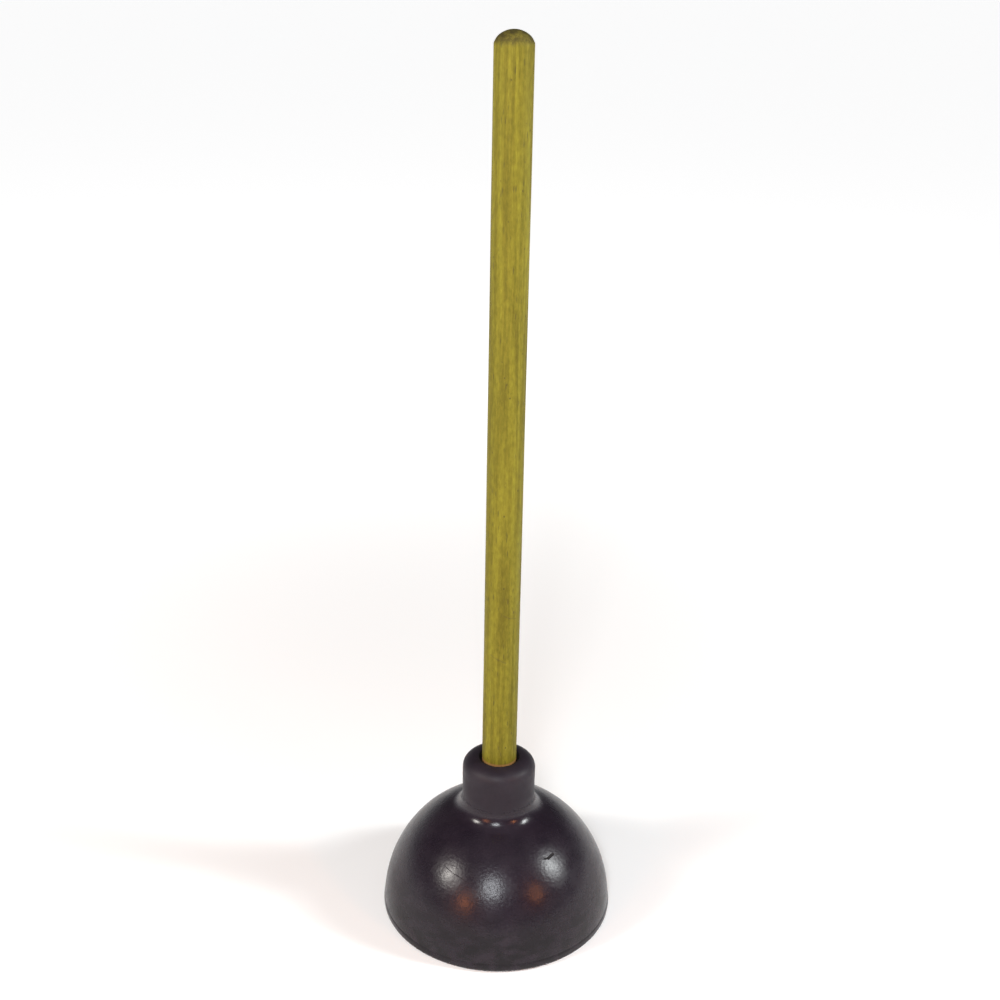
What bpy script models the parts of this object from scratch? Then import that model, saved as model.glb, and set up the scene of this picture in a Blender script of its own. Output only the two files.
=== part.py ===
"""Cup plunger: a moulded rubber force cup screwed to the end of a turned wooden handle.

The rim of the cup rests on the floor at z = 0 and the handle stands along +Z.
Every piece is a separate closed solid, and the lengths are in metres.
"""

from math import acos, atan2, cos, hypot, pi, sin, sqrt, tau

import bmesh
import bpy

# Gap left between pieces that touch in the real plunger.
GAP = 0.0003

# Rubber cup: outside of the dome, whose crown is a little flatter than a true ellipse.
DOME_RADIUS = 0.0754
DOME_HEIGHT = 0.0767
CROWN_SINK = 0.0110
CROWN_EDGE = 0.0480
RIM_HEIGHT = 0.0030
LIP_RADIUS = 0.0025

# Rubber cup: inside of the dome.
INNER_RADIUS = 0.0698
INNER_HEIGHT = 0.0700
INNER_LIP_RADIUS = 0.0015
BOSS_RADIUS = 0.0190
BOSS_BOTTOM = 0.0640
BOSS_EDGE_RADIUS = 0.0025
BOSS_FILLET = 0.0040

# Rubber cup: neck that holds the handle.
NECK_RADIUS = 0.0236
NECK_TOP = 0.1108
NECK_FILLET = 0.0115
SHOULDER_HEIGHT = 0.0079
SHOULDER_POWER = 2.14
SOCKET_FLOOR = 0.0725
SOCKET_FLARE_HEIGHT = 0.0100
SOCKET_MOUTH_RADIUS = 0.0123
MOUTH_LIP_RADIUS = 0.0012
CUP_STEPS = 56
DOME_RINGS = 18

# Wooden handle: a 7/8 inch dowel, 19 inches long, with a domed end.
HANDLE_RADIUS = 0.0111
HANDLE_LENGTH = 0.4826
HANDLE_CROWN = 0.0060
HANDLE_FOOT_BEVEL = 0.0008
HANDLE_STEPS = 48

# Wood screw, driven upward through the washer and the cup into the handle.
SCREW_LENGTH = 0.0318
SCREW_CORE_RADIUS = 0.0017
SCREW_THREAD_RADIUS = 0.0024
SCREW_THREAD_PITCH = 0.0020
SCREW_THREAD_LENGTH = 0.0190
SCREW_TIP_LENGTH = 0.0040
SCREW_HEAD_RADIUS = 0.0047
SCREW_HEAD_HEIGHT = 0.0032
SCREW_RECESS_WIDTH = 0.0010
SCREW_RECESS_LENGTH = 0.0050
SCREW_RECESS_DEPTH = 0.0015
SCREW_STEPS = 24
THREAD_RINGS_PER_TURN = 4

# Flat washer between the screw head and the rubber.
WASHER_RADIUS = 0.0127
WASHER_THICKNESS = 0.0016
WASHER_EDGE = 0.0003
WASHER_STEPS = 40

# Heights that follow from the sizes above.
HANDLE_BOTTOM = SOCKET_FLOOR + GAP
HANDLE_TOP = HANDLE_BOTTOM + HANDLE_LENGTH
WASHER_TOP = BOSS_BOTTOM - GAP
WASHER_BOTTOM = WASHER_TOP - WASHER_THICKNESS
SCREW_SEAT = WASHER_BOTTOM - GAP
SCREW_HOLE_RADIUS = SCREW_THREAD_RADIUS + GAP
PILOT_DEPTH = SCREW_SEAT + SCREW_LENGTH - HANDLE_BOTTOM + 0.0010


def clear_scene():
    """Remove whatever the default scene holds."""
    for item in list(bpy.data.objects):
        bpy.data.objects.remove(item, do_unlink=True)


def make_material(name, colour, roughness, metallic=0.0):
    """Return a plain Principled material."""
    material = bpy.data.materials.new(name)
    material.use_nodes = True
    shader = material.node_tree.nodes["Principled BSDF"]
    shader.inputs["Base Color"].default_value = (*colour, 1.0)
    shader.inputs["Roughness"].default_value = roughness
    shader.inputs["Metallic"].default_value = metallic
    return material


def make_object(name, mesh_data, material):
    """Turn a finished bmesh into a named, smooth-shaded object."""
    bmesh.ops.recalc_face_normals(mesh_data, faces=mesh_data.faces)
    mesh = bpy.data.meshes.new(name)
    mesh_data.to_mesh(mesh)
    mesh_data.free()
    mesh.shade_smooth()
    mesh.set_sharp_from_angle(angle=0.6)
    piece = bpy.data.objects.new(name, mesh)
    piece.data.materials.append(material)
    bpy.context.scene.collection.objects.link(piece)
    return piece


def arc(centre, radius_r, radius_z, start, end, steps):
    """Points on an ellipse arc in the (radius, height) plane; angles in radians."""
    points = []
    for step in range(steps + 1):
        angle = start + (end - start) * step / steps
        points.append((centre[0] + radius_r * cos(angle), centre[1] + radius_z * sin(angle)))
    return points


def squared_arc(centre, width, height, power, steps):
    """Points on a quarter curve from its top to its side; a power over 2 makes it squarer."""
    points = []
    for step in range(steps + 1):
        angle = pi / 2 * (1 - step / steps)
        across = max(0.0, cos(angle)) ** (2 / power)
        up = max(0.0, sin(angle)) ** (2 / power)
        points.append((centre[0] + width * across, centre[1] + height * up))
    return points


def dome_point(dome_radius, dome_height, sink, angle):
    """A point on a dome: half an ellipse that dips by up to sink towards the axis."""
    radius = dome_radius * cos(angle)
    near_axis = max(0.0, 1.0 - radius / CROWN_EDGE)
    return radius, RIM_HEIGHT + dome_height * sin(angle) - sink * near_axis ** 2


def fillet_to_dome(wall_radius, fillet, dome_radius, dome_height, sink, side):
    """Find the fillet circle that touches a vertical wall and a dome.

    side is +1 when the circle sits outside the dome and -1 when it sits inside.
    Returns the circle's centre, the point where it touches the dome and that point's angle.
    """
    centre_r = wall_radius + fillet
    low = RIM_HEIGHT + dome_height * 0.5
    high = RIM_HEIGHT + dome_height * 1.5
    touch = (0.0, 0.0)
    touch_angle = 0.0
    above_centre = dome_point(dome_radius, dome_height, sink, acos(centre_r / dome_radius))[1]
    for _ in range(60):
        centre_z = (low + high) / 2
        distance = 1.0
        for step in range(2000):
            angle = pi / 2 * step / 2000
            point = dome_point(dome_radius, dome_height, sink, angle)
            reach = hypot(point[0] - centre_r, point[1] - centre_z)
            if reach < distance:
                distance = reach
                touch = point
                touch_angle = angle
        signed = -distance if centre_z < above_centre else distance
        if signed > side * fillet:
            high = centre_z
        else:
            low = centre_z
    return (centre_r, centre_z), touch, touch_angle


def turn_ring(name, profile, steps, material):
    """Turn a closed profile that stays clear of the axis."""
    mesh_data = bmesh.new()
    rings = []
    for radius, height in profile:
        ring = []
        for step in range(steps):
            angle = tau * step / steps
            ring.append(mesh_data.verts.new((radius * cos(angle), radius * sin(angle), height)))
        rings.append(ring)
    for index, ring in enumerate(rings):
        following = rings[(index + 1) % len(rings)]
        for step in range(steps):
            after = (step + 1) % steps
            mesh_data.faces.new((ring[step], ring[after], following[after], following[step]))
    return make_object(name, mesh_data, material)


def turn_solid(name, profile, steps, material, radius_at=None):
    """Turn an open profile whose first and last points lie on the axis.

    radius_at, when given, replaces the radius of each inner point by a value
    that depends on the turning angle, which is how the thread is cut.
    """
    mesh_data = bmesh.new()
    first = mesh_data.verts.new((0.0, 0.0, profile[0][1]))
    last = mesh_data.verts.new((0.0, 0.0, profile[-1][1]))
    rings = []
    for radius, height in profile[1:-1]:
        ring = []
        for step in range(steps):
            angle = tau * step / steps
            reach = radius_at(radius, height, angle) if radius_at else radius
            ring.append(mesh_data.verts.new((reach * cos(angle), reach * sin(angle), height)))
        rings.append(ring)
    for step in range(steps):
        after = (step + 1) % steps
        mesh_data.faces.new((first, rings[0][after], rings[0][step]))
        mesh_data.faces.new((last, rings[-1][step], rings[-1][after]))
        for ring, following in zip(rings, rings[1:]):
            mesh_data.faces.new((ring[step], ring[after], following[after], following[step]))
    return make_object(name, mesh_data, material)


def build_cup(material):
    """One rubber moulding: dome, rolled rim, neck and the boss round the socket."""
    neck_centre, neck_touch, dome_start = fillet_to_dome(
        NECK_RADIUS, NECK_FILLET, DOME_RADIUS, DOME_HEIGHT, CROWN_SINK, 1
    )
    boss_centre, boss_touch, inner_end = fillet_to_dome(
        BOSS_RADIUS, BOSS_FILLET, INNER_RADIUS, INNER_HEIGHT, 0.0, -1
    )
    socket_radius = HANDLE_RADIUS + GAP

    # Socket, from the screw hole up to the rounded mouth.
    profile = [(SCREW_HOLE_RADIUS, SOCKET_FLOOR), (socket_radius, SOCKET_FLOOR)]
    profile.append((socket_radius, NECK_TOP - SOCKET_FLARE_HEIGHT))
    mouth_centre = (SOCKET_MOUTH_RADIUS + MOUTH_LIP_RADIUS, NECK_TOP - MOUTH_LIP_RADIUS)
    profile += arc(mouth_centre, MOUTH_LIP_RADIUS, MOUTH_LIP_RADIUS, pi, pi / 2, 4)

    # Rounded shoulder, from the mouth's lip to the side of the neck, then the fillet to the dome.
    shoulder_width = NECK_RADIUS - mouth_centre[0]
    shoulder_centre = (mouth_centre[0], NECK_TOP - SHOULDER_HEIGHT)
    profile += squared_arc(shoulder_centre, shoulder_width, SHOULDER_HEIGHT, SHOULDER_POWER, 8)[1:]
    touch_angle = atan2(neck_touch[1] - neck_centre[1], neck_touch[0] - neck_centre[0]) % tau
    profile += arc(neck_centre, NECK_FILLET, NECK_FILLET, pi, touch_angle, 6)

    # Outside of the dome, rolled lip and the flat ring it rests on.
    for step in range(1, DOME_RINGS + 1):
        angle = dome_start * (1 - step / DOME_RINGS)
        profile.append(dome_point(DOME_RADIUS, DOME_HEIGHT, CROWN_SINK, angle))
    lip_centre = (DOME_RADIUS - LIP_RADIUS, RIM_HEIGHT)
    profile += arc(lip_centre, LIP_RADIUS, RIM_HEIGHT, 0.0, -pi / 2, 4)[1:]
    inner_lip_centre = (INNER_RADIUS + INNER_LIP_RADIUS, RIM_HEIGHT)
    profile += arc(inner_lip_centre, INNER_LIP_RADIUS, RIM_HEIGHT, -pi / 2, -pi, 3)

    # Inside of the dome, the boss and its flat end.
    profile += arc((0.0, RIM_HEIGHT), INNER_RADIUS, INNER_HEIGHT, 0.0, inner_end, 14)[1:]
    boss_angle = atan2(boss_touch[1] - boss_centre[1], boss_touch[0] - boss_centre[0])
    boss_arc = arc(boss_centre, BOSS_FILLET, BOSS_FILLET, boss_angle, pi, 3)[1:]
    profile += [point for point in boss_arc if point[1] > BOSS_BOTTOM + BOSS_EDGE_RADIUS]
    edge_centre = (BOSS_RADIUS - BOSS_EDGE_RADIUS, BOSS_BOTTOM + BOSS_EDGE_RADIUS)
    profile += arc(edge_centre, BOSS_EDGE_RADIUS, BOSS_EDGE_RADIUS, 0.0, -pi / 2, 3)
    profile.append((SCREW_HOLE_RADIUS, BOSS_BOTTOM))
    return turn_ring("rubber_cup", profile, CUP_STEPS, material)


def build_handle(material):
    """The dowel, with a pilot hole in its foot and a shallow domed top."""
    crown_radius = (HANDLE_RADIUS ** 2 + HANDLE_CROWN ** 2) / (2 * HANDLE_CROWN)
    shoulder = HANDLE_TOP - HANDLE_CROWN
    profile = [(0.0, HANDLE_BOTTOM + PILOT_DEPTH)]
    profile.append((SCREW_HOLE_RADIUS, HANDLE_BOTTOM + PILOT_DEPTH - SCREW_HOLE_RADIUS))
    profile.append((SCREW_HOLE_RADIUS, HANDLE_BOTTOM))
    profile.append((HANDLE_RADIUS - HANDLE_FOOT_BEVEL, HANDLE_BOTTOM))
    profile.append((HANDLE_RADIUS, HANDLE_BOTTOM + HANDLE_FOOT_BEVEL))
    profile.append((HANDLE_RADIUS, shoulder))
    for share in (0.93, 0.80, 0.62, 0.42, 0.20):
        radius = HANDLE_RADIUS * share
        drop = crown_radius - sqrt(crown_radius ** 2 - radius ** 2)
        profile.append((radius, HANDLE_TOP - drop))
    profile.append((0.0, HANDLE_TOP))
    return turn_solid("handle", profile, HANDLE_STEPS, material)


def build_washer(material):
    """The flat washer, with softened edges."""
    hole = SCREW_HOLE_RADIUS
    profile = [
        (hole, WASHER_BOTTOM),
        (WASHER_RADIUS - WASHER_EDGE, WASHER_BOTTOM),
        (WASHER_RADIUS, WASHER_BOTTOM + WASHER_EDGE),
        (WASHER_RADIUS, WASHER_TOP - WASHER_EDGE),
        (WASHER_RADIUS - WASHER_EDGE, WASHER_TOP),
        (hole, WASHER_TOP),
    ]
    return turn_ring("washer", profile, WASHER_STEPS, material)


def thread_radius(radius, height, angle):
    """Radius of the screw at one height and angle: a ridge that winds upward."""
    thread_top = SCREW_SEAT + SCREW_LENGTH - SCREW_TIP_LENGTH
    thread_bottom = thread_top - SCREW_THREAD_LENGTH
    if height < thread_bottom or height > thread_top:
        return radius
    turn = (height / SCREW_THREAD_PITCH - angle / tau) % 1.0
    ridge = max(0.0, 1.0 - abs(turn - 0.5) * 4)
    fade = min(1.0, (height - thread_bottom) / SCREW_THREAD_PITCH)
    fade = min(fade, (thread_top - height) / SCREW_THREAD_PITCH)
    return radius + (SCREW_THREAD_RADIUS - SCREW_CORE_RADIUS) * ridge * fade


def build_screw(material):
    """The round-head wood screw, with a helical thread and a cross recess."""
    tip = SCREW_SEAT + SCREW_LENGTH
    thread_top = tip - SCREW_TIP_LENGTH
    thread_bottom = thread_top - SCREW_THREAD_LENGTH
    head_bottom = SCREW_SEAT - SCREW_HEAD_HEIGHT
    profile = [(0.0, head_bottom)]
    head_arc = arc((0.0, SCREW_SEAT), SCREW_HEAD_RADIUS, SCREW_HEAD_HEIGHT, -pi / 2, 0.0, 7)
    profile += head_arc[1:]
    profile.append((SCREW_CORE_RADIUS, SCREW_SEAT))
    rings = round(SCREW_THREAD_LENGTH / SCREW_THREAD_PITCH * THREAD_RINGS_PER_TURN)
    for ring in range(rings + 1):
        height = thread_bottom + SCREW_THREAD_LENGTH * ring / rings
        profile.append((SCREW_CORE_RADIUS, height))
    profile.append((SCREW_CORE_RADIUS * 0.5, thread_top + SCREW_TIP_LENGTH * 0.6))
    profile.append((0.0, tip))
    screw = turn_solid("wood_screw", profile, SCREW_STEPS, material, thread_radius)

    half_length = SCREW_RECESS_LENGTH / 2
    half_width = SCREW_RECESS_WIDTH / 2
    outline = [
        (half_length, half_width), (half_width, half_width), (half_width, half_length),
        (-half_width, half_length), (-half_width, half_width), (-half_length, half_width),
        (-half_length, -half_width), (-half_width, -half_width), (-half_width, -half_length),
        (half_width, -half_length), (half_width, -half_width), (half_length, -half_width),
    ]
    mesh_data = bmesh.new()
    lower = [mesh_data.verts.new((x, y, head_bottom - 0.001)) for x, y in outline]
    upper_height = head_bottom + SCREW_RECESS_DEPTH
    upper = [mesh_data.verts.new((x * 0.7, y * 0.9, upper_height)) for x, y in outline]
    mesh_data.faces.new(lower)
    mesh_data.faces.new(upper)
    for index in range(len(outline)):
        after = (index + 1) % len(outline)
        mesh_data.faces.new((lower[index], lower[after], upper[after], upper[index]))
    cutter = make_object("recess_cutter", mesh_data, material)
    cutter.hide_render = True
    cutter.display_type = "WIRE"
    recess = screw.modifiers.new("recess", "BOOLEAN")
    recess.operation = "DIFFERENCE"
    recess.solver = "EXACT"
    recess.object = cutter
    return screw


def build():
    """Build the four pieces of the plunger."""
    clear_scene()
    rubber = make_material("dark_rubber", (0.040, 0.032, 0.038), 0.45)
    wood = make_material("stained_wood", (0.342, 0.287, 0.030), 0.55)
    washer_steel = make_material("washer_steel", (0.55, 0.55, 0.56), 0.35, 1.0)
    screw_steel = make_material("screw_steel", (0.50, 0.50, 0.52), 0.30, 1.0)
    build_cup(rubber)
    build_handle(wood)
    build_washer(washer_steel)
    build_screw(screw_steel)


build()
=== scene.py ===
"""Looks for the cup plunger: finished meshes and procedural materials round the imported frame.

Lengths are in metres, in the frame of the CAD part: the rim rests on z = 0 and +Z runs up the handle.
"""

from math import acos, atan2, cos, hypot, pi, radians, sin, sqrt, tau

import bmesh
import bpy
from mathutils import Matrix, Vector, noise


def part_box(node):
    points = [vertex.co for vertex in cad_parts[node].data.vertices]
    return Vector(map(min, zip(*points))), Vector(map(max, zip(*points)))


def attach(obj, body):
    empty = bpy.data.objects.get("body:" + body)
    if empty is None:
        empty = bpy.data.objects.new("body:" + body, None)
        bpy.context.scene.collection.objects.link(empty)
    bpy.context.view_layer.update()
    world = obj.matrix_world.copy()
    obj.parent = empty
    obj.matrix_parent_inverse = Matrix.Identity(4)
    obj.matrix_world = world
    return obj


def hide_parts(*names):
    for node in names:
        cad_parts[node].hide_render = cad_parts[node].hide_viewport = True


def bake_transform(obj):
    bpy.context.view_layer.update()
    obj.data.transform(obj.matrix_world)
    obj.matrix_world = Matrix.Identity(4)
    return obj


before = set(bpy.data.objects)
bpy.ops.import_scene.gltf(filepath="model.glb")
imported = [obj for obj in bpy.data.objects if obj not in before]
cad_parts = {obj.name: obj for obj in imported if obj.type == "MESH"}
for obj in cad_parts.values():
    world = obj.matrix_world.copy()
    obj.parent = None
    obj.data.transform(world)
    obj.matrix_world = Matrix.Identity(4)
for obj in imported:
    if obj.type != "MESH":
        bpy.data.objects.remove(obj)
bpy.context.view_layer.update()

# Gap left between pieces that touch in the real plunger.
GAP = 0.0003

# Sizes read from the frame.
CUP_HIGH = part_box("rubber_cup")[1]
HANDLE_LOW, HANDLE_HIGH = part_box("handle")
WASHER_LOW, WASHER_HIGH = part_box("washer")
SCREW_LOW, SCREW_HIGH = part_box("wood_screw")
DOME_RADIUS = CUP_HIGH[0]
NECK_TOP = CUP_HIGH[2]
HANDLE_RADIUS = HANDLE_HIGH[0]
HANDLE_BOTTOM = HANDLE_LOW[2]
HANDLE_TOP = HANDLE_HIGH[2]
SOCKET_FLOOR = HANDLE_BOTTOM - GAP
WASHER_RADIUS = WASHER_HIGH[0]
WASHER_BOTTOM = WASHER_LOW[2]
WASHER_TOP = WASHER_HIGH[2]
BOSS_BOTTOM = WASHER_TOP + GAP
SCREW_SEAT = WASHER_BOTTOM - GAP
SCREW_TIP = SCREW_HIGH[2]
SCREW_HEAD_BOTTOM = SCREW_LOW[2]
SCREW_HEAD_RADIUS = SCREW_HIGH[0]

# Rubber cup: outside.
DOME_HEIGHT = 0.0767
DOME_SIDES = 240
CROWN_SINK = 0.0110
CROWN_EDGE = 0.0480
RIM_HEIGHT = 0.0030
BEAD_HEIGHT = 0.0036
BEAD_STEP = 0.00028
NECK_RADIUS = 0.0236
NECK_FILLET = 0.0115
SHOULDER_HEIGHT = 0.0079
SHOULDER_POWER = 2.14
SOCKET_FLARE_HEIGHT = 0.0100
SOCKET_MOUTH_RADIUS = 0.0123
MOUTH_LIP_RADIUS = 0.0012
LIP_RADIUS = 0.0025

# Rubber cup: the groove and the slope of the bead, below its top edge.
BEAD_GROOVE = 0.00012
BEAD_GROOVE_DROP = 0.0004
BEAD_SLOPE_SHARE = 0.6
BEAD_SLOPE_DROP = 0.0009
BEAD_FACE_DROP = 0.0016
BEAD_FACE_BOTTOM = 0.0010

# Rubber cup: unevenness of the moulding and of the socket's mouth.
CUP_WAVE = 0.00022
CUP_WAVE_COARSE = 32.0
CUP_WAVE_FINE = 90.0
CUP_WAVE_FADE = 0.008
TEAR_REACH = 0.0020
TEAR_WIDTH = 0.0014
TEAR_OFFSET = 0.0006
TEAR_ACROSS = 0.00022
TEAR_DOWN = 0.0003

# Rubber cup: inside.
INNER_RADIUS = 0.0698
INNER_HEIGHT = 0.0700
INNER_LIP_RADIUS = 0.0015
BOSS_RADIUS = 0.0190
BOSS_EDGE_RADIUS = 0.0025
BOSS_FILLET = 0.0040
DOME_RINGS = 80

# Search for a fillet that touches the dome.
FIT_ROUNDS = 50
FIT_POINTS = 2000

# Handle.
HANDLE_SIDES = 96
HANDLE_CROWN = 0.0060
HANDLE_FOOT_BEVEL = 0.0008
HANDLE_WAVE = 0.00012
HANDLE_WAVE_AROUND = 0.9
HANDLE_WAVE_ALONG = 14.0
HANDLE_WAVE_FADE = 0.004
CROWN_ROUND = 0.0012
CROWN_ROUND_START = 0.70
CROWN_RINGS = 35
PILOT_CLEARANCE = 0.0010

# Washer and screw.
WASHER_SIDES = 96
WASHER_EDGE = 0.0003
SCREW_SIDES = 48
SCREW_CORE_RADIUS = 0.0017
SCREW_THREAD_RADIUS = 0.0024
SCREW_THREAD_PITCH = 0.0020
SCREW_THREAD_LENGTH = 0.0190
SCREW_TIP_LENGTH = 0.0040
SCREW_HOLE_RADIUS = SCREW_THREAD_RADIUS + GAP
RECESS_HALF_LENGTH = 0.0025
RECESS_HALF_WIDTH = 0.0005
RECESS_DEPTH = 0.0016
RECESS_LENGTH_TAPER = 0.6
RECESS_WIDTH_TAPER = 0.8
RECESS_OVERCUT = 0.001

# Edges sharper than these angles, in radians, are shaded as edges.
SHARP_ANGLE = 0.9
SCREW_SHARP_ANGLE = 0.6

# Camera: its place in metres, its angles in radians, and its sensor and lens in millimetres.
CAMERA_BACK = 0.7539
CAMERA_UP = 0.5876
CAMERA_PITCH = 0.3776
CAMERA_ROLL = 0.0200
CAMERA_YAW = 0.0037
SENSOR_WIDTH = 36.0
LENS = 48.77
CLIP_START = 0.01
CLIP_END = 200.0


def link(item):
    """Put an object in the scene."""
    bpy.context.scene.collection.objects.link(item)


def make_object(name, mesh_data):
    """Turn a finished bmesh into a smooth-shaded object at the origin."""
    bmesh.ops.recalc_face_normals(mesh_data, faces=mesh_data.faces)
    mesh = bpy.data.meshes.new(name)
    mesh_data.to_mesh(mesh)
    mesh_data.free()
    mesh.shade_smooth()
    mesh.set_sharp_from_angle(angle=SHARP_ANGLE)
    piece = bpy.data.objects.new(name, mesh)
    link(piece)
    return piece


def arc(centre, radius_r, radius_z, start, end, steps):
    """Points on an ellipse arc in the (radius, height) plane; angles in radians."""
    points = []
    for step in range(steps + 1):
        angle = start + (end - start) * step / steps
        points.append((centre[0] + radius_r * cos(angle), centre[1] + radius_z * sin(angle)))
    return points


def line(start, end, steps):
    """Points on a straight line, without its first point."""
    points = []
    for step in range(1, steps + 1):
        share = step / steps
        points.append((start[0] + (end[0] - start[0]) * share, start[1] + (end[1] - start[1]) * share))
    return points


def squared_arc(centre, width, height, power, steps):
    """Points on a quarter curve from its top to its side; a power over 2 makes it squarer."""
    points = []
    for step in range(steps + 1):
        angle = pi / 2 * (1 - step / steps)
        across = max(0.0, cos(angle)) ** (2 / power)
        up = max(0.0, sin(angle)) ** (2 / power)
        points.append((centre[0] + width * across, centre[1] + height * up))
    return points


def dome_point(dome_radius, dome_height, sink, angle):
    """A point on a dome: half an ellipse that dips by up to sink towards the axis."""
    radius = dome_radius * cos(angle)
    near_axis = max(0.0, 1.0 - radius / CROWN_EDGE)
    return radius, RIM_HEIGHT + dome_height * sin(angle) - sink * near_axis ** 2


def fillet_to_dome(wall_radius, fillet, dome_radius, dome_height, sink, side):
    """Fillet circle that touches a vertical wall and a dome: centre, touching point and its angle."""
    centre_r = wall_radius + fillet
    low = RIM_HEIGHT + dome_height * 0.5
    high = RIM_HEIGHT + dome_height * 1.5
    touch = (0.0, 0.0)
    touch_angle = 0.0
    above_centre = dome_point(dome_radius, dome_height, sink, acos(centre_r / dome_radius))[1]
    for _ in range(FIT_ROUNDS):
        centre_z = (low + high) / 2
        distance = 1.0
        for step in range(FIT_POINTS):
            angle = pi / 2 * step / FIT_POINTS
            point = dome_point(dome_radius, dome_height, sink, angle)
            reach = hypot(point[0] - centre_r, point[1] - centre_z)
            if reach < distance:
                distance = reach
                touch = point
                touch_angle = angle
        signed = -distance if centre_z < above_centre else distance
        if signed > side * fillet:
            high = centre_z
        else:
            low = centre_z
    return (centre_r, centre_z), touch, touch_angle


def turned_rings(mesh_data, profile, steps, shape):
    """One ring of points for each profile point; shape moves a point a little."""
    rings = []
    for radius, height in profile:
        ring = []
        for step in range(steps):
            angle = tau * step / steps
            reach, level = shape(radius, height, angle)
            ring.append(mesh_data.verts.new((reach * cos(angle), reach * sin(angle), level)))
        rings.append(ring)
    return rings


def bridge(mesh_data, lower, upper):
    """Quads between two rings."""
    count = len(lower)
    for step in range(count):
        after = (step + 1) % count
        mesh_data.faces.new((lower[step], lower[after], upper[after], upper[step]))


def turn_ring(name, profile, steps, shape):
    """Turn a closed profile that stays clear of the axis."""
    mesh_data = bmesh.new()
    rings = turned_rings(mesh_data, profile, steps, shape)
    for index, ring in enumerate(rings):
        bridge(mesh_data, ring, rings[(index + 1) % len(rings)])
    return make_object(name, mesh_data)


def turn_solid(name, profile, steps, shape):
    """Turn an open profile whose first and last points lie on the axis."""
    mesh_data = bmesh.new()
    first = mesh_data.verts.new((0.0, 0.0, profile[0][1]))
    last = mesh_data.verts.new((0.0, 0.0, profile[-1][1]))
    rings = turned_rings(mesh_data, profile[1:-1], steps, shape)
    for ring, following in zip(rings, rings[1:]):
        bridge(mesh_data, ring, following)
    for step in range(steps):
        after = (step + 1) % steps
        mesh_data.faces.new((first, rings[0][after], rings[0][step]))
        mesh_data.faces.new((last, rings[-1][step], rings[-1][after]))
    return make_object(name, mesh_data)


def steady(radius, height, angle):
    """A shape that leaves every point where the profile puts it."""
    return radius, height


def moulded(radius, height, angle):
    """The cup's slight unevenness, nearly all of it inward, and none at the foot."""
    place = Vector((cos(angle) * radius, sin(angle) * radius, height))
    wave = noise.noise(place * CUP_WAVE_COARSE) * 0.5 + noise.noise(place * CUP_WAVE_FINE) * 0.25
    fade = min(1.0, height / CUP_WAVE_FADE)
    return radius - CUP_WAVE * (wave + 0.5) * fade, height


def torn_mouth(radius, height, angle):
    """The cup's shape, with the thin edge of the socket's mouth slightly ragged."""
    reach, level = moulded(radius, height, angle)
    near_top = max(0.0, 1.0 - abs(height - NECK_TOP) / TEAR_REACH)
    near_wall = max(0.0, 1.0 - abs(radius - SOCKET_MOUTH_RADIUS - TEAR_OFFSET) / TEAR_WIDTH)
    near_mouth = near_top * near_wall
    ragged = noise.noise(Vector((cos(angle) * 3.1, sin(angle) * 3.1, 7.0)))
    ragged += 0.5 * noise.noise(Vector((cos(angle) * 9.0, sin(angle) * 9.0, 2.0)))
    return reach + TEAR_ACROSS * ragged * near_mouth, level - TEAR_DOWN * (ragged + 1.0) * near_mouth


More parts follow.
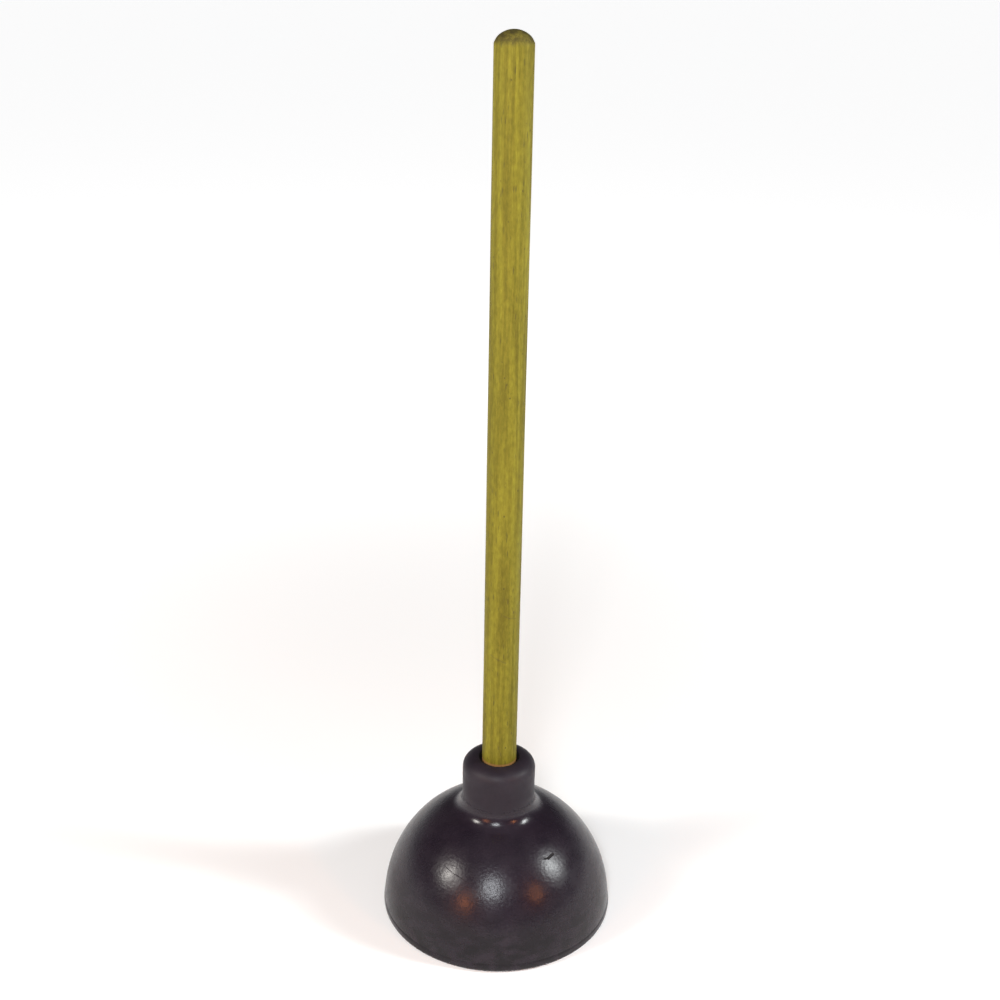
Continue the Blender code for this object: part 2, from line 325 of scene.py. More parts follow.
def build_cup():
    """The rubber moulding, with the same profile as the CAD cup but finer, and a bead at the rim."""
    neck_centre, neck_touch, dome_start = fillet_to_dome(
        NECK_RADIUS, NECK_FILLET, DOME_RADIUS, DOME_HEIGHT, CROWN_SINK, 1
    )
    boss_centre, boss_touch, inner_end = fillet_to_dome(
        BOSS_RADIUS, BOSS_FILLET, INNER_RADIUS, INNER_HEIGHT, 0.0, -1
    )
    socket_radius = HANDLE_RADIUS + GAP

    # Socket floor, socket wall and the rounded mouth.
    profile = [(SCREW_HOLE_RADIUS, SOCKET_FLOOR)]
    profile += line(profile[-1], (socket_radius, SOCKET_FLOOR), 5)
    profile += line(profile[-1], (socket_radius, NECK_TOP - SOCKET_FLARE_HEIGHT), 5)
    mouth_centre = (SOCKET_MOUTH_RADIUS + MOUTH_LIP_RADIUS, NECK_TOP - MOUTH_LIP_RADIUS)
    mouth = arc(mouth_centre, MOUTH_LIP_RADIUS, MOUTH_LIP_RADIUS, pi, pi / 2, 8)
    profile += line(profile[-1], mouth[0], 5)
    profile += mouth[1:]

    # Shoulder, neck and fillet.
    shoulder_width = NECK_RADIUS - mouth_centre[0]
    shoulder_centre = (mouth_centre[0], NECK_TOP - SHOULDER_HEIGHT)
    profile += squared_arc(shoulder_centre, shoulder_width, SHOULDER_HEIGHT, SHOULDER_POWER, 26)[1:]
    profile += line(profile[-1], (NECK_RADIUS, neck_centre[1]), 16)
    touch_angle = atan2(neck_touch[1] - neck_centre[1], neck_touch[0] - neck_centre[0]) % tau
    profile += arc(neck_centre, NECK_FILLET, NECK_FILLET, pi, touch_angle, 26)[1:]

    # Outside of the dome down to the bead at the rim.
    bead_angle = atan2(BEAD_HEIGHT / DOME_HEIGHT, 1.0)
    inset_radius = DOME_RADIUS - BEAD_STEP
    for step in range(1, DOME_RINGS + 1):
        angle = dome_start + (bead_angle - dome_start) * step / DOME_RINGS
        profile.append(dome_point(inset_radius, DOME_HEIGHT, CROWN_SINK, angle))
    bead_top = RIM_HEIGHT + BEAD_HEIGHT
    profile.append((inset_radius - BEAD_GROOVE, bead_top - BEAD_GROOVE_DROP))
    profile.append((inset_radius + BEAD_STEP * BEAD_SLOPE_SHARE, bead_top - BEAD_SLOPE_DROP))
    profile.append((DOME_RADIUS, bead_top - BEAD_FACE_DROP))
    profile.append((DOME_RADIUS, RIM_HEIGHT + BEAD_FACE_BOTTOM))
    profile += arc((DOME_RADIUS - LIP_RADIUS, RIM_HEIGHT), LIP_RADIUS, RIM_HEIGHT, 0.0, -pi / 2, 10)
    profile += arc(
        (INNER_RADIUS + INNER_LIP_RADIUS, RIM_HEIGHT), INNER_LIP_RADIUS, RIM_HEIGHT, -pi / 2, -pi, 8
    )

    # Inside of the dome and the boss under the socket.
    profile += arc((0.0, RIM_HEIGHT), INNER_RADIUS, INNER_HEIGHT, 0.0, inner_end, 60)[1:]
    boss_angle = atan2(boss_touch[1] - boss_centre[1], boss_touch[0] - boss_centre[0])
    boss_arc = arc(boss_centre, BOSS_FILLET, BOSS_FILLET, boss_angle, pi, 10)[1:]
    profile += [point for point in boss_arc if point[1] > BOSS_BOTTOM + BOSS_EDGE_RADIUS]
    edge_centre = (BOSS_RADIUS - BOSS_EDGE_RADIUS, BOSS_BOTTOM + BOSS_EDGE_RADIUS)
    profile += arc(edge_centre, BOSS_EDGE_RADIUS, BOSS_EDGE_RADIUS, 0.0, -pi / 2, 8)
    profile += line(profile[-1], (SCREW_HOLE_RADIUS, BOSS_BOTTOM), 8)
    return turn_ring("cup_rubber", profile, DOME_SIDES, torn_mouth)


def whittled(radius, height, angle):
    """The handle's slight waviness: always inside the true radius."""
    around = HANDLE_WAVE_AROUND
    place = Vector((cos(angle) * around, sin(angle) * around, height * HANDLE_WAVE_ALONG))
    wave = noise.noise(place) * 0.5 + 0.5
    inside = max(0.0, min(1.0, (radius - SCREW_HOLE_RADIUS) / HANDLE_WAVE_FADE))
    return radius - HANDLE_WAVE * wave * inside, height


def build_handle():
    """The dowel, finer than the CAD one, with its pilot hole and domed end."""
    crown_radius = (HANDLE_RADIUS ** 2 + HANDLE_CROWN ** 2) / (2 * HANDLE_CROWN)
    shoulder = HANDLE_TOP - HANDLE_CROWN
    pilot_top = SCREW_TIP + PILOT_CLEARANCE
    profile = [(0.0, pilot_top)]
    profile.append((SCREW_HOLE_RADIUS, pilot_top - SCREW_HOLE_RADIUS))
    profile += line(profile[-1], (SCREW_HOLE_RADIUS, HANDLE_BOTTOM), 4)
    profile += line(profile[-1], (HANDLE_RADIUS - HANDLE_FOOT_BEVEL, HANDLE_BOTTOM), 6)
    profile += line(profile[-1], (HANDLE_RADIUS, HANDLE_BOTTOM + HANDLE_FOOT_BEVEL), 2)
    profile += line(profile[-1], (HANDLE_RADIUS, shoulder - CROWN_ROUND), 150)
    for step in range(1, CROWN_RINGS):
        radius = HANDLE_RADIUS * cos(pi / 2 * step / CROWN_RINGS)
        drop = crown_radius - sqrt(crown_radius ** 2 - radius ** 2)
        near_edge = max(0.0, radius / HANDLE_RADIUS - CROWN_ROUND_START) / (1.0 - CROWN_ROUND_START)
        profile.append((radius, HANDLE_TOP - drop - CROWN_ROUND * near_edge ** 3))
    profile.append((0.0, HANDLE_TOP))
    return turn_solid("handle_wood", profile, HANDLE_SIDES, whittled)


def build_washer():
    """The flat washer, with both of its outer edges slightly rounded."""
    edge = WASHER_EDGE
    flat_radius = WASHER_RADIUS - edge
    profile = line((SCREW_HOLE_RADIUS, WASHER_BOTTOM), (flat_radius, WASHER_BOTTOM), 12)
    profile += arc((flat_radius, WASHER_BOTTOM + edge), edge, edge, -pi / 2, 0.0, 4)[1:]
    profile += arc((flat_radius, WASHER_TOP - edge), edge, edge, 0.0, pi / 2, 4)
    profile += line(profile[-1], (SCREW_HOLE_RADIUS, WASHER_TOP), 6)
    profile.append((SCREW_HOLE_RADIUS, WASHER_BOTTOM))
    return turn_ring("washer_plated", profile, WASHER_SIDES, steady)


def threaded(radius, height, angle):
    """The screw's ridge, which winds upward and fades at both ends."""
    thread_top = SCREW_TIP - SCREW_TIP_LENGTH
    thread_bottom = thread_top - SCREW_THREAD_LENGTH
    if height < thread_bottom or height > thread_top:
        return radius, height
    turn = (height / SCREW_THREAD_PITCH - angle / tau) % 1.0
    ridge = max(0.0, 1.0 - abs(turn - 0.5) * 4)
    fade = min(1.0, (height - thread_bottom) / SCREW_THREAD_PITCH)
    fade = min(fade, (thread_top - height) / SCREW_THREAD_PITCH)
    return radius + (SCREW_THREAD_RADIUS - SCREW_CORE_RADIUS) * ridge * fade, height


def build_recess_cutter():
    """A tapered cross that cuts the recess in the screw's head."""
    length, width = RECESS_HALF_LENGTH, RECESS_HALF_WIDTH
    corner = [(length, width), (width, width), (width, length)]
    outline = []
    for side, end in ((1, 1), (-1, 1), (-1, -1), (1, -1)):
        points = corner if side == end else corner[::-1]
        outline += [(side * x, end * y) for x, y in points]
    opening = SCREW_HEAD_BOTTOM - RECESS_OVERCUT
    depth = SCREW_HEAD_BOTTOM + RECESS_DEPTH
    cutter_data = bmesh.new()
    lower = [cutter_data.verts.new((x, y, opening)) for x, y in outline]
    upper = [
        cutter_data.verts.new((x * RECESS_LENGTH_TAPER, y * RECESS_WIDTH_TAPER, depth))
        for x, y in outline
    ]
    cutter_data.faces.new(lower)
    cutter_data.faces.new(upper)
    bridge(cutter_data, lower, upper)
    return make_object("recess_cutter", cutter_data)


def build_screw():
    """The round-head wood screw, with its cross recess cut in."""
    thread_top = SCREW_TIP - SCREW_TIP_LENGTH
    thread_bottom = thread_top - SCREW_THREAD_LENGTH
    head_height = SCREW_SEAT - SCREW_HEAD_BOTTOM
    profile = arc((0.0, SCREW_SEAT), SCREW_HEAD_RADIUS, head_height, -pi / 2, 0.0, 20)
    profile[0] = (0.0, SCREW_HEAD_BOTTOM)
    profile += line(profile[-1], (SCREW_CORE_RADIUS, SCREW_SEAT), 3)
    profile += line(profile[-1], (SCREW_CORE_RADIUS, thread_bottom), 2)
    profile += line(profile[-1], (SCREW_CORE_RADIUS, thread_top), 96)
    profile += line(profile[-1], (0.0, SCREW_TIP), 4)
    screw = turn_solid("screw_plated", profile, SCREW_SIDES, threaded)

    cutter = build_recess_cutter()
    recess = screw.modifiers.new("recess", "BOOLEAN")
    recess.operation = "DIFFERENCE"
    recess.solver = "EXACT"
    recess.object = cutter
    bpy.context.view_layer.update()
    finished = bpy.data.meshes.new_from_object(
        screw.evaluated_get(bpy.context.evaluated_depsgraph_get())
    )
    screw.modifiers.clear()
    screw.data = finished
    finished.shade_smooth()
    finished.set_sharp_from_angle(angle=SCREW_SHARP_ANGLE)
    bpy.data.objects.remove(cutter, do_unlink=True)
    return screw


class Shader:
    """A small helper that adds and links shader nodes."""

    def __init__(self, name):
        self.material = bpy.data.materials.new(name)
        self.material.use_nodes = True
        self.tree = self.material.node_tree
        self.surface = self.tree.nodes["Principled BSDF"]
        place = self.tree.nodes.new("ShaderNodeTexCoord")
        self.place = place.outputs["Object"]

    def put(self, socket, value):
        """Set a socket from a number, a colour or another node's output."""
        if isinstance(value, bpy.types.NodeSocket):
            self.tree.links.new(value, socket)
        else:
            socket.default_value = value

    def scaled(self, scale, shift=(0.0, 0.0, 0.0)):
        """Object coordinates, scaled and shifted."""
        mapping = self.tree.nodes.new("ShaderNodeMapping")
        self.tree.links.new(self.place, mapping.inputs["Vector"])
        mapping.inputs["Scale"].default_value = scale
        mapping.inputs["Location"].default_value = shift
        return mapping.outputs["Vector"]

    def noise(self, vector, scale, detail=2.0, roughness=0.5, distortion=0.0):
        """Noise from 0 to 1."""
        texture = self.tree.nodes.new("ShaderNodeTexNoise")
        self.tree.links.new(vector, texture.inputs["Vector"])
        texture.inputs["Scale"].default_value = scale
        texture.inputs["Detail"].default_value = detail
        texture.inputs["Roughness"].default_value = roughness
        texture.inputs["Distortion"].default_value = distortion
        return texture.outputs["Fac"]

    def cells(self, vector, scale):
        """Distance to the nearest of scattered points."""
        texture = self.tree.nodes.new("ShaderNodeTexVoronoi")
        self.tree.links.new(vector, texture.inputs["Vector"])
        texture.inputs["Scale"].default_value = scale
        return texture.outputs["Distance"]

    def math(self, operation, first, second=0.0, clamp=False):
        """One arithmetic step."""
        step = self.tree.nodes.new("ShaderNodeMath")
        step.operation = operation
        step.use_clamp = clamp
        self.put(step.inputs[0], first)
        self.put(step.inputs[1], second)
        return step.outputs[0]

    def ease(self, value, low, high, to_low=0.0, to_high=1.0):
        """Smooth step from to_low at low to to_high at high."""
        step = self.tree.nodes.new("ShaderNodeMapRange")
        step.interpolation_type = "SMOOTHSTEP"
        self.put(step.inputs["Value"], value)
        step.inputs["From Min"].default_value = low
        step.inputs["From Max"].default_value = high
        step.inputs["To Min"].default_value = to_low
        step.inputs["To Max"].default_value = to_high
        return step.outputs["Result"]

    def blend(self, share, first, second, mode="MIX"):
        """Mix two colours."""
        mix = self.tree.nodes.new("ShaderNodeMix")
        mix.data_type = "RGBA"
        mix.blend_type = mode
        self.put(mix.inputs["Factor"], share)
        self.put(mix.inputs["A"], first)
        self.put(mix.inputs["B"], second)
        return mix.outputs["Result"]

    def grey(self, value):
        """A grey colour from one number."""
        join = self.tree.nodes.new("ShaderNodeCombineColor")
        for socket in join.inputs:
            self.tree.links.new(value, socket)
        return join.outputs[0]

    def shaded(self, colour, pattern, low, high, dark, pale):
        """A colour multiplied by a pattern, from dark where it is low to pale where it is high."""
        tone = self.ease(pattern, low, high, dark, pale)
        return self.blend(1.0, colour, self.grey(tone), "MULTIPLY")

    def split(self):
        """The object coordinates as x, y and z."""
        parts = self.tree.nodes.new("ShaderNodeSeparateXYZ")
        self.tree.links.new(self.place, parts.inputs[0])
        return parts.outputs[0], parts.outputs[1], parts.outputs[2]

    def level(self):
        """Height above the floor."""
        return self.split()[2]

    def axis_distance(self):
        """Distance from the plunger's upright axis."""
        x, y, _ = self.split()
        squares = self.math("ADD", self.math("MULTIPLY", x, x), self.math("MULTIPLY", y, y))
        return self.math("POWER", squares, 0.5)

    def near_segment(self, start, end):
        """Distance from the surface to a straight segment between two points."""
        start = Vector(start)
        along = Vector(end) - start
        away = self.vector("SUBTRACT", self.place, tuple(start))
        dot = self.vector("DOT_PRODUCT", away, tuple(along))
        share = self.math("DIVIDE", dot, along.length_squared, clamp=True)
        reach = self.tree.nodes.new("ShaderNodeVectorMath")
        reach.operation = "SCALE"
        reach.inputs[0].default_value = tuple(along)
        self.tree.links.new(share, reach.inputs["Scale"])
        rest = self.vector("SUBTRACT", away, reach.outputs[0])
        return self.vector("LENGTH", rest)

    def mark(self, start, end, half_width, dark, softness):
        """A mark along a segment: dark on it, and fading to 0 at its edge."""
        away = self.near_segment(start, end)
        inner = half_width * (1.0 - softness)
        outer = half_width * (1.0 + softness)
        return self.ease(away, inner, outer, dark, 0.0)

    def vector(self, operation, first, second=None):
        """One vector step."""
        step = self.tree.nodes.new("ShaderNodeVectorMath")
        step.operation = operation
        self.put(step.inputs[0], first)
        if second is not None:
            self.put(step.inputs[1], second)
        gives_number = operation in ("DOT_PRODUCT", "LENGTH")
        return step.outputs["Value"] if gives_number else step.outputs["Vector"]

    def bump(self, height, strength, distance, under=None):
        """Bump from a height; under is a bump to build on."""
        node = self.tree.nodes.new("ShaderNodeBump")
        node.inputs["Strength"].default_value = strength
        node.inputs["Distance"].default_value = distance
        self.tree.links.new(height, node.inputs["Height"])
        if under is not None:
            self.tree.links.new(under, node.inputs["Normal"])
        return node.outputs["Normal"]


# Colours of the wood.
STAIN_DARK = (0.134, 0.114, 0.0110, 1)
STAIN_PALE = (0.186, 0.164, 0.0146, 1)
PORE_COLOUR = (0.060, 0.050, 0.014, 1)
FLECK_COLOUR = (0.050, 0.038, 0.014, 1)
KNOCK_COLOUR = (0.085, 0.065, 0.018, 1)
FOOT_RING_COLOUR = (0.36, 0.17, 0.075, 1)
END_GRAIN_DARK = (0.072, 0.060, 0.018, 1)
END_GRAIN_PALE = (0.158, 0.132, 0.026, 1)
END_DIRT_COLOUR = (0.034, 0.028, 0.014, 1)

# Where the wood's looks change: heights above the floor.
FOOT_RING_LEVELS = (NECK_TOP - 0.0010, NECK_TOP + 0.0006)
END_GRAIN_LEVELS = (HANDLE_TOP - HANDLE_CROWN - 0.0030, HANDLE_TOP - HANDLE_CROWN + 0.0012)

# Knocks and stains on the handle: start, end, half width and how dark.
HANDLE_MARKS = (
    ((0.0070, -0.0086, 0.2186), (0.0070, -0.0086, 0.2178), 0.0006, 0.75),
    ((0.0010, -0.0111, 0.2167), (0.0045, -0.0101, 0.2146), 0.0004, 0.45),
    ((0.0045, -0.0101, 0.2146), (0.0083, -0.0073, 0.2135), 0.0004, 0.40),
    ((-0.0065, -0.0090, 0.1888), (-0.0018, -0.0109, 0.1862), 0.0005, 0.40),
    ((-0.0018, -0.0109, 0.1862), (0.0028, -0.0107, 0.1841), 0.0005, 0.40),
    ((0.0075, -0.0082, 0.1330), (0.0076, -0.0081, 0.1320), 0.0006, 0.60),
)


def wood_material():
    """Olive-yellow stain over straight, open grain; dirtier end grain on the domed end."""
    shader = Shader("stained_wood")
    level = shader.level()
    streaks = shader.noise(shader.scaled((1.0, 1.0, 0.030)), 400.0, 2.0, 0.50, 0.4)
    mottle = shader.noise(shader.scaled((1.0, 1.0, 0.45), (0.1, 0.7, 0.0)), 480.0, 4.0, 0.66)
    fine = shader.noise(shader.scaled((1.0, 1.0, 0.12), (0.3, 0.1, 0.0)), 1700.0, 3.0, 0.70)
    broad = shader.noise(shader.scaled((1.0, 1.0, 0.16), (0.0, 0.4, 0.2)), 75.0, 2.0, 0.5)
    colour = shader.blend(shader.ease(streaks, 0.34, 0.66), STAIN_DARK, STAIN_PALE)
    colour = shader.shaded(colour, mottle, 0.32, 0.68, 0.84, 1.10)
    colour = shader.shaded(colour, fine, 0.30, 0.70, 0.86, 1.10)
    colour = shader.shaded(colour, broad, 0.30, 0.70, 0.90, 1.05)

    # Open pores: short dark dashes along the grain.
    pore_field = shader.cells(shader.scaled((1.0, 1.0, 0.16)), 560.0)
    pore_zone = shader.noise(shader.scaled((1.0, 1.0, 0.3), (0.7, 0.0, 0.0)), 160.0, 2.0)
    pores = shader.math("MULTIPLY", shader.ease(pore_field, 0.10, 0.26, 1.0, 0.0),
                        shader.ease(pore_zone, 0.42, 0.56))
    colour = shader.blend(shader.math("MULTIPLY", pores, 0.72), colour, PORE_COLOUR)

    # Small flecks of dirt.
    fleck_field = shader.cells(shader.scaled((1.0, 1.0, 0.7), (0.2, 0.6, 0.1)), 300.0)
    fleck_zone = shader.noise(shader.scaled((1.0, 1.0, 0.6), (0.0, 0.2, 0.9)), 220.0, 1.0)
    flecks = shader.math("MULTIPLY", shader.ease(fleck_field, 0.08, 0.20, 1.0, 0.0),
                         shader.ease(fleck_zone, 0.56, 0.64))
    colour = shader.blend(shader.math("MULTIPLY", flecks, 0.75), colour, FLECK_COLOUR)

    # Knocks and stains.
    for start, end, half_width, dark in HANDLE_MARKS:
        mark = shader.mark(start, end, half_width, dark, softness=0.6)
        colour = shader.blend(mark, colour, KNOCK_COLOUR)

    # A reddish band on the handle, from just above the socket's mouth downward.
    foot_ring = shader.ease(level, *FOOT_RING_LEVELS, 0.65, 0.0)
    colour = shader.blend(foot_ring, colour, FOOT_RING_COLOUR)

    # End grain soaks up more dirt, in patches.
    end_share = shader.ease(level, *END_GRAIN_LEVELS)
    end_spots = shader.noise(shader.scaled((1.0, 1.0, 0.6)), 620.0, 4.0, 0.7)
    end_dirt = shader.noise(shader.scaled((1.0, 1.0, 0.8), (0.5, 0.3, 0.0)), 190.0, 2.0, 0.5)
    end_colour = shader.blend(shader.ease(end_spots, 0.38, 0.62), END_GRAIN_DARK, END_GRAIN_PALE)
    dirt_share = shader.ease(end_dirt, 0.40, 0.58, 0.0, 0.80)
    end_colour = shader.blend(dirt_share, end_colour, END_DIRT_COLOUR)
    colour = shader.blend(shader.math("MULTIPLY", end_share, 0.85), colour, end_colour)

    shader.put(shader.surface.inputs["Base Color"], colour)
    rough = shader.ease(streaks, 0.35, 0.65, 0.66, 0.54)
    shader.put(shader.surface.inputs["Roughness"], rough)
    shader.surface.inputs["Specular IOR Level"].default_value = 0.12
    grain = shader.bump(mottle, 0.20, 0.00015)
    grain = shader.bump(fine, 0.22, 0.00012, grain)
    grain = shader.bump(shader.math("SUBTRACT", 1.0, pores), 0.35, 0.00015, grain)
    shader.put(shader.surface.inputs["Normal"], grain)
    return shader.material


# Colours of the rubber.
RUBBER_DARK = (0.0100, 0.0062, 0.0114, 1)
RUBBER_PALE = (0.0166, 0.0112, 0.0176, 1)
DUST_COLOUR = (0.032, 0.024, 0.030, 1)
DAMP_COLOUR = (0.0030, 0.0018, 0.0034, 1)
# The mouth colour below is painted shade: near black for the shadowed gap round the handle.
MOUTH_SHADE_COLOUR = (0.0015, 0.0010, 0.0012, 1)
NICK_COLOUR = (0.004, 0.003, 0.003, 1)

# Where the rubber's looks change: distances from the axis, and heights above the floor.
DOME_CROWN = RIM_HEIGHT + DOME_HEIGHT
FILLET_START_RADII = (NECK_RADIUS - 0.0004, NECK_RADIUS + 0.0009)
FILLET_END_RADII = (NECK_RADIUS + 0.0054, NECK_RADIUS + 0.0164)
FILLET_LEVELS = (DOME_CROWN - 0.0117, DOME_CROWN - 0.0097)
NECK_LEVELS = (DOME_CROWN + 0.0023, DOME_CROWN + 0.0103)
# The next two lines place the painted shade inside the socket's mouth.
MOUTH_SHADE_RADII = (SOCKET_MOUTH_RADIUS + 0.0004, SOCKET_MOUTH_RADIUS + 0.0014)
MOUTH_SHADE_LEVELS = (NECK_TOP - 0.0128, NECK_TOP - 0.0108)
DAMP_LEVELS = (0.012, 0.046)

# Scratches and nicks on the cup: start, end, half width and how dark.
CUP_SCRATCHES = (
    ((-0.0335, -0.0428, 0.0562), (-0.0275, -0.0485, 0.0547), 0.00020, 0.5),
    ((-0.0275, -0.0485, 0.0547), (-0.0205, -0.0530, 0.0532), 0.00022, 0.5),
    ((0.0300, -0.0397, 0.0606), (0.0325, -0.0382, 0.0600), 0.00050, 0.9),
    ((0.0325, -0.0382, 0.0600), (0.0357, -0.0347, 0.0607), 0.00070, 1.0),
    ((0.0615, -0.0363, 0.0268), (0.0623, -0.0354, 0.0276), 0.00060, 0.8),
)


def rubber_material():
    """Dark purple-brown rubber: scuffed satin dome, cleaner fillet, duller neck."""
    shader = Shader("dark_rubber")
    level = shader.level()
    radius = shader.axis_distance()
    cloud = shader.noise(shader.scaled((1.0, 1.0, 1.0)), 48.0, 4.0, 0.60)
    patch = shader.noise(shader.scaled((1.0, 1.0, 1.6), (0.6, 0.2, 0.4)), 95.0, 3.0, 0.55)
    dust = shader.noise(shader.scaled((1.0, 1.0, 1.0), (0.2, 0.5, 0.1)), 900.0, 3.0, 0.6)
    pebble = shader.noise(shader.scaled((1.0, 1.0, 1.0), (0.4, 0.1, 0.7)), 560.0, 2.0, 0.55)
    rub = shader.noise(shader.scaled((0.35, 1.0, 1.0), (0.0, 0.3, 0.3)), 650.0, 4.0, 0.7, 1.2)

    colour = shader.blend(shader.ease(cloud, 0.30, 0.70), RUBBER_DARK, RUBBER_PALE)
    colour = shader.blend(shader.ease(dust, 0.55, 0.75, 0.0, 0.25), colour, DUST_COLOUR)

    # Darker, damp-looking blotches towards the rim.
    damp = shader.math("MULTIPLY", shader.ease(level, *DAMP_LEVELS, 1.0, 0.0),
                       shader.ease(patch, 0.35, 0.60))
    colour = shader.blend(shader.math("MULTIPLY", damp, 0.85), colour, DAMP_COLOUR)

    # The inside of the fillet keeps its moulded shine, and the dome is scuffed.
    in_fillet = shader.math("MULTIPLY", shader.ease(radius, *FILLET_START_RADII),
                            shader.ease(radius, *FILLET_END_RADII, 1.0, 0.0))
    in_fillet = shader.math("MULTIPLY", in_fillet, shader.ease(level, *FILLET_LEVELS))
    on_neck = shader.ease(level, *NECK_LEVELS)
    scuff = shader.ease(rub, 0.30, 0.75, -0.015, 0.045)
    rough = shader.math("ADD", 0.25, scuff)
    rough = shader.math("ADD", rough, shader.ease(patch, 0.25, 0.75, -0.02, 0.05))
    rough = shader.math("ADD", rough, shader.math("MULTIPLY", on_neck, 0.26))
    rough = shader.math("SUBTRACT", rough, shader.math("MULTIPLY", in_fillet, 0.05))

    # Painted shade: the socket's mouth and the top of its wall are coloured near black for the
    # shadowed gap round the handle, and are made rougher.
    mouth_shade = shader.math("MULTIPLY", shader.ease(radius, *MOUTH_SHADE_RADII, 1.0, 0.0),
                             shader.ease(level, *MOUTH_SHADE_LEVELS))
    colour = shader.blend(mouth_shade, colour, MOUTH_SHADE_COLOUR)
    rough = shader.math("ADD", rough, shader.math("MULTIPLY", mouth_shade, 0.35))

    # Scratches and nicks.
    depth = None
    for start, end, half_width, dark in CUP_SCRATCHES:
        mark = shader.mark(start, end, half_width, dark, softness=0.5)
        colour = shader.blend(mark, colour, NICK_COLOUR)
        depth = mark if depth is None else shader.math("MAXIMUM", depth, mark)
    rough = shader.math("ADD", rough, shader.math("MULTIPLY", depth, 0.4), clamp=True)

    shader.put(shader.surface.inputs["Base Color"], colour)
    shader.put(shader.surface.inputs["Roughness"], rough)
    shader.surface.inputs["Specular IOR Level"].default_value = 0.30
    on_dome = shader.math("SUBTRACT", shader.math("SUBTRACT", 1.0, in_fillet), on_neck, clamp=True)
    texture = shader.bump(shader.math("MULTIPLY", pebble, on_dome), 0.62, 0.00016)
    texture = shader.bump(shader.math("SUBTRACT", 1.0, depth), 0.8, 0.00030, texture)
    shader.put(shader.surface.inputs["Normal"], texture)
    return shader.material


# Plated steel: how fast the turning marks repeat, in radians per metre, and its dull patches.
LATHE_WAVES = 42000.0
DULL_SHARE = 0.55
DULL_ROUGHNESS = 0.22


def plated_material(name, tint, roughness):
    """Zinc-plated steel, with faint turning marks and dulled patches."""
    shader = Shader(name)
    lathe = shader.math("SINE", shader.math("MULTIPLY", shader.axis_distance(), LATHE_WAVES))
    patch = shader.noise(shader.scaled((1.0, 1.0, 1.0)), 260.0, 4.0, 0.6)
    dull = tuple(part * DULL_SHARE for part in tint)
    colour = shader.blend(shader.ease(patch, 0.40, 0.70), (*tint, 1), (*dull, 1))
    shader.put(shader.surface.inputs["Base Color"], colour)
    shader.surface.inputs["Metallic"].default_value = 1.0
    rough = shader.ease(patch, 0.35, 0.70, roughness, roughness + DULL_ROUGHNESS)
    shader.put(shader.surface.inputs["Roughness"], rough)
    shader.put(shader.surface.inputs["Normal"], shader.bump(lathe, 0.05, 0.00005))
    return shader.material


# Floor: half its width, how far it lies below the rim, and its colour.
FLOOR_HALF_WIDTH = 40.0
FLOOR_DROP = 0.0002
FLOOR_COLOUR = (0.92, 0.92, 0.92, 1)

# Floor: distances from the axis where its glow starts and ends to grow, and the glow at each.
FLOOR_GLOW_DISTANCES = (0.15, 1.30)
FLOOR_GLOW = (0.08, 0.80)


def floor_material():
    """Plain pale floor, kept pale far from the lights by a faint glow of its own."""
    shader = Shader("pale_floor")
    glow = shader.ease(shader.axis_distance(), *FLOOR_GLOW_DISTANCES, *FLOOR_GLOW)
    shader.surface.inputs["Emission Color"].default_value = (1.0, 1.0, 1.0, 1)
    shader.put(shader.surface.inputs["Emission Strength"], glow)
    shader.surface.inputs["Base Color"].default_value = FLOOR_COLOUR
    shader.surface.inputs["Roughness"].default_value = 0.9
    shader.surface.inputs["Specular IOR Level"].default_value = 0.1
    return shader.material


# Surroundings: colour, brightness at the horizon and overhead, and the upward part of the
# direction in which one gives way to the other.
SKY_COLOUR = (0.97, 0.98, 1.0, 1)
HORIZON_GLOW = 0.62
OVERHEAD_GLOW = 0.10
GLOW_CHANGE = (0.02, 0.30)

# Soft light from overhead: strength, and spread and tilt in degrees.
OVERHEAD_STRENGTH = 0.20
OVERHEAD_SPREAD = 70
OVERHEAD_TILT = 12

# Studio lights: how far off, and what they face.
LIGHT_DISTANCE = 1.5
LIGHT_TARGET = (0.0, 0.0, 0.06)

# Studio lights: name, azimuth and elevation in degrees, width, height, radiance, colour.
STUDIO_LIGHTS = (
    ("left_light", -63, 33, 0.33, 0.33, 27.0, (1.0, 0.96, 0.90)),
    ("left_core", -63, 33, 0.09, 0.09, 100.0, (1.0, 0.96, 0.90)),
    ("front_light", -5, 37, 0.30, 0.37, 27.0, (0.92, 0.96, 1.0)),
    ("front_core", -5, 37, 0.10, 0.10, 100.0, (0.92, 0.96, 1.0)),
    ("right_light", 80, 33, 0.23, 0.40, 41.0, (0.96, 1.0, 1.0)),
    ("right_core", 80, 33, 0.09, 0.10, 100.0, (0.96, 1.0, 1.0)),
    ("warm_left", -33, 19, 0.32, 0.36, 10.0, (1.0, 0.34, 0.12)),
    ("warm_right", 45, 25, 0.17, 0.17, 32.0, (1.0, 0.34, 0.10)),
)


def add_softbox(name, azimuth, elevation, width, height, radiance, colour):
    """A rectangular light that faces the cup. Azimuth 0 is the camera's side, 90 is +X."""
    light = bpy.data.lights.new(name, "AREA")
    light.shape = "RECTANGLE"
    light.size = width
    light.size_y = height
    light.energy = radiance * pi * width * height
    light.color = colour
    lamp = bpy.data.objects.new(name, light)
    link(lamp)
    around = radians(azimuth)
    up = radians(elevation)
    away = Vector((sin(around) * cos(up), -cos(around) * cos(up), sin(up)))
    lamp.location = Vector(LIGHT_TARGET) + away * LIGHT_DISTANCE
    lamp.rotation_mode = "QUATERNION"
    lamp.rotation_quaternion = (-away).to_track_quat("-Z", "Y")


def build_floor():
    """The wide, plain floor under the rim."""
    half = FLOOR_HALF_WIDTH
    mesh_data = bmesh.new()
    corners = ((-half, -half), (half, -half), (half, half), (-half, half))
    mesh_data.faces.new([mesh_data.verts.new((x, y, -FLOOR_DROP)) for x, y in corners])
    floor = make_object("floor", mesh_data)
    floor.data.materials.append(floor_material())


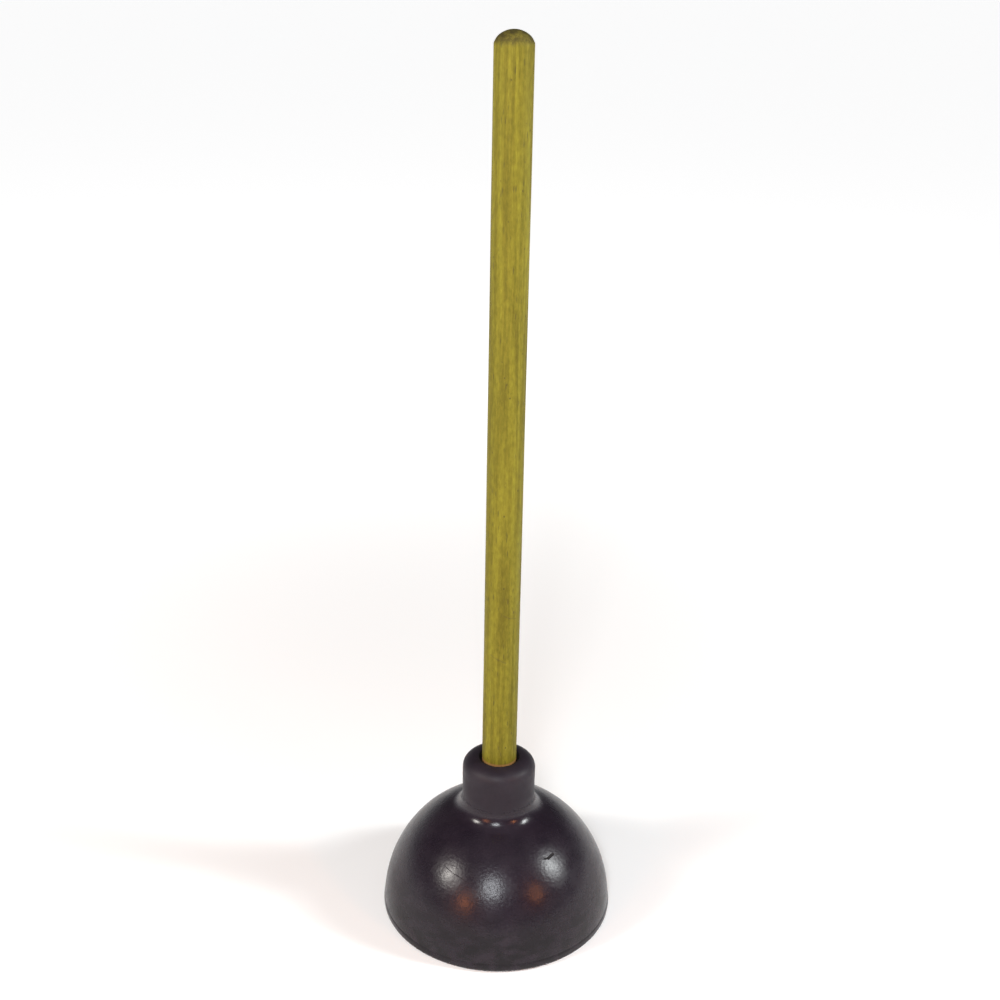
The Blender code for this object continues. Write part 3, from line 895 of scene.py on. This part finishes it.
def build_world():
    """Surroundings that are pale at the horizon and dim overhead."""
    world = bpy.data.worlds.new("studio")
    world.use_nodes = True
    tree = world.node_tree
    direction = tree.nodes.new("ShaderNodeTexCoord")
    parts = tree.nodes.new("ShaderNodeSeparateXYZ")
    tree.links.new(direction.outputs["Generated"], parts.inputs[0])
    glow = tree.nodes.new("ShaderNodeMapRange")
    glow.interpolation_type = "SMOOTHSTEP"
    tree.links.new(parts.outputs[2], glow.inputs["Value"])
    glow.inputs["From Min"].default_value = GLOW_CHANGE[0]
    glow.inputs["From Max"].default_value = GLOW_CHANGE[1]
    glow.inputs["To Min"].default_value = HORIZON_GLOW
    glow.inputs["To Max"].default_value = OVERHEAD_GLOW
    tree.links.new(glow.outputs["Result"], tree.nodes["Background"].inputs["Strength"])
    tree.nodes["Background"].inputs["Color"].default_value = SKY_COLOUR
    bpy.context.scene.world = world


def build_lights():
    """The studio lights, and a soft one from overhead."""
    for light in STUDIO_LIGHTS:
        add_softbox(*light)
    overhead = bpy.data.lights.new("overhead", "SUN")
    overhead.energy = OVERHEAD_STRENGTH
    overhead.angle = radians(OVERHEAD_SPREAD)
    lamp = bpy.data.objects.new("overhead", overhead)
    link(lamp)
    lamp.rotation_euler = (radians(OVERHEAD_TILT), 0.0, 0.0)


def build_camera():
    """The camera, in front of the plunger and looking down at it."""
    data = bpy.data.cameras.new("camera")
    data.sensor_width = SENSOR_WIDTH
    data.lens = LENS
    data.clip_start = CLIP_START
    data.clip_end = CLIP_END
    camera = bpy.data.objects.new("camera", data)
    link(camera)
    turn = Matrix.Rotation(CAMERA_YAW, 4, "Z")
    tilt = Matrix.Rotation(pi / 2 - CAMERA_PITCH, 4, "X")
    roll = Matrix.Rotation(CAMERA_ROLL, 4, "Z")
    camera.matrix_world = Matrix.Translation((0.0, -CAMERA_BACK, CAMERA_UP)) @ turn @ tilt @ roll
    bpy.context.scene.camera = camera


build_camera()
build_floor()
build_world()
build_lights()

cup = build_cup()
cup.data.materials.append(rubber_material())
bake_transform(cup)
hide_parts("rubber_cup")

handle = build_handle()
handle.data.materials.append(wood_material())
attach(handle, "handle")
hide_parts("handle")

washer = build_washer()
washer.data.materials.append(plated_material("washer_steel", (0.62, 0.62, 0.63), 0.30))
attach(washer, "handle")
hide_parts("washer")

screw = build_screw()
screw.data.materials.clear()
screw.data.materials.append(plated_material("screw_steel", (0.58, 0.58, 0.60), 0.26))
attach(screw, "handle")
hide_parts("wood_screw")

bpy.context.scene.view_settings.view_transform = "Standard"
